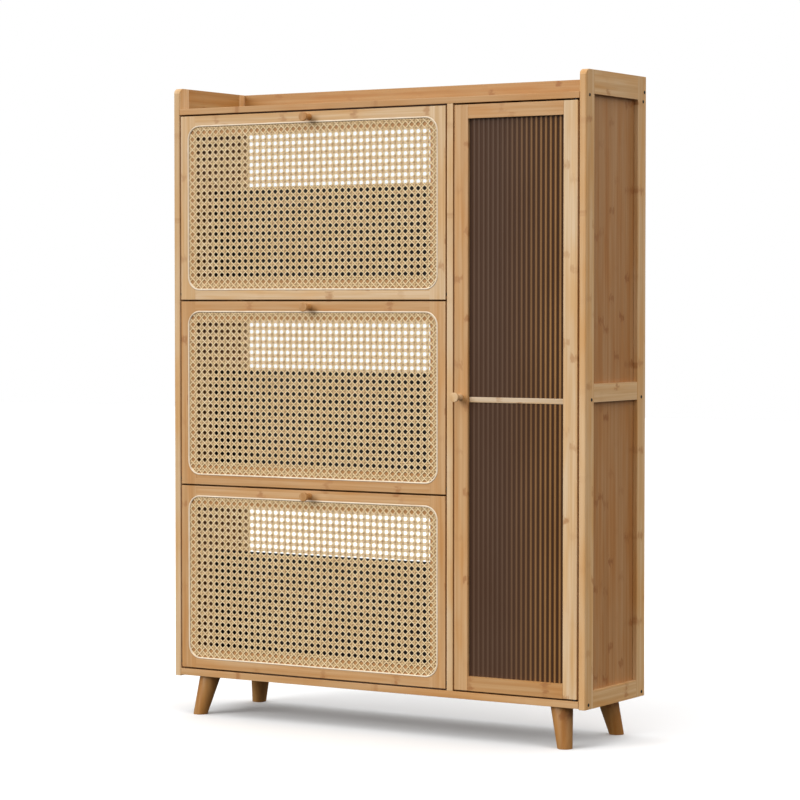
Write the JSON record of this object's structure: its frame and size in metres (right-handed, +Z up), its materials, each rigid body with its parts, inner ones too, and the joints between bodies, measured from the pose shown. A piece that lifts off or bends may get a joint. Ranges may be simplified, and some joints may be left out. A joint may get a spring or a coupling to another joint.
{
  "type": "shoe cabinet",
  "caption": "Tall slim bamboo shoe cabinet: tip-out cane-webbed fronts with shoe racks beside a narrow fluted door, on splayed legs.",
  "frame": {"origin": "on the floor, at the middle of the overall box, knobs included", "axes": "+Z up, +X to the right when facing the front, -Y out of the front"},
  "size_m": [0.857, 0.242, 1.15],
  "materials": {
    "bamboo": "satin clear lacquer",
    "panel_bamboo": "satin clear lacquer",
    "rack_board": "dark stained board",
    "leg_bamboo": "satin clear lacquer",
    "knob_bamboo": "satin clear lacquer",
    "cane": "woven rattan cane, natural",
    "spline": "natural rattan reed",
    "fluted_panel": "tinted, vertically fluted",
    "pivot_steel": "plain"
  },
  "bodies": {
    "root": {"left_front_stile": "bamboo", "left_rear_stile": "bamboo", "left_top_rail": "bamboo", "left_mid_rail": "bamboo", "left_bottom_rail": "bamboo", "left_upper_panel": "panel_bamboo", "left_lower_panel": "panel_bamboo", "right_front_stile": "bamboo", "right_rear_stile": "bamboo", "right_top_rail": "bamboo", "right_mid_rail": "bamboo", "right_bottom_rail": "bamboo", "right_upper_panel": "panel_bamboo", "right_lower_panel": "panel_bamboo", "bottom_board": "bamboo", "top_board": "bamboo", "partition": "bamboo", "gallery_rail": "bamboo", "mid_shelf": "bamboo", "door_section_back": "panel_bamboo", "lower_rear_rail": "bamboo", "upper_rear_rail": "bamboo", "front_left_leg": "leg_bamboo", "front_right_leg": "leg_bamboo", "rear_left_leg": "leg_bamboo", "rear_right_leg": "leg_bamboo"},
    "lower_front": {"lower_front_frame": "bamboo", "lower_cane_panel": "cane", "lower_cane_spline": "spline", "lower_knob": "knob_bamboo", "lower_rack_floor": "rack_board", "lower_rack_divider": "rack_board", "lower_left_pivot_pin": "pivot_steel", "lower_right_pivot_pin": "pivot_steel"},
    "middle_front": {"middle_front_frame": "bamboo", "middle_cane_panel": "cane", "middle_cane_spline": "spline", "middle_knob": "knob_bamboo", "middle_rack_floor": "rack_board", "middle_rack_divider": "rack_board", "middle_left_pivot_pin": "pivot_steel", "middle_right_pivot_pin": "pivot_steel"},
    "upper_front": {"upper_front_frame": "bamboo", "upper_cane_panel": "cane", "upper_cane_spline": "spline", "upper_knob": "knob_bamboo", "upper_rack_floor": "rack_board", "upper_rack_divider": "rack_board", "upper_left_pivot_pin": "pivot_steel", "upper_right_pivot_pin": "pivot_steel"},
    "door": {"door_free_stile": "bamboo", "door_hinge_stile": "bamboo", "door_bottom_rail": "bamboo", "door_top_rail": "bamboo", "door_mid_bar": "bamboo", "door_lower_fluted_panel": "fluted_panel", "door_upper_fluted_panel": "fluted_panel", "door_knob": "knob_bamboo", "door_lower_pivot_pin": "pivot_steel", "door_upper_pivot_pin": "pivot_steel"}
  },
  "joints": [
    {"name": "lower_front_tip", "type": "hinge", "parent": "root", "child": "lower_front", "pos_m": [0, -0.093, 0.097], "axis": [1, 0, 0], "range_deg": [0, 50]},
    {"name": "middle_front_tip", "type": "hinge", "parent": "root", "child": "middle_front", "pos_m": [0, -0.093, 0.435], "axis": [1, 0, 0], "range_deg": [0, 50]},
    {"name": "upper_front_tip", "type": "hinge", "parent": "root", "child": "upper_front", "pos_m": [0, -0.093, 0.773], "axis": [1, 0, 0], "range_deg": [0, 50]},
    {"name": "door_swing", "type": "hinge", "parent": "root", "child": "door", "pos_m": [0.4065, -0.093, 0.5925], "axis": [0, 0, 1], "range_deg": [0, 105]}
  ]
}
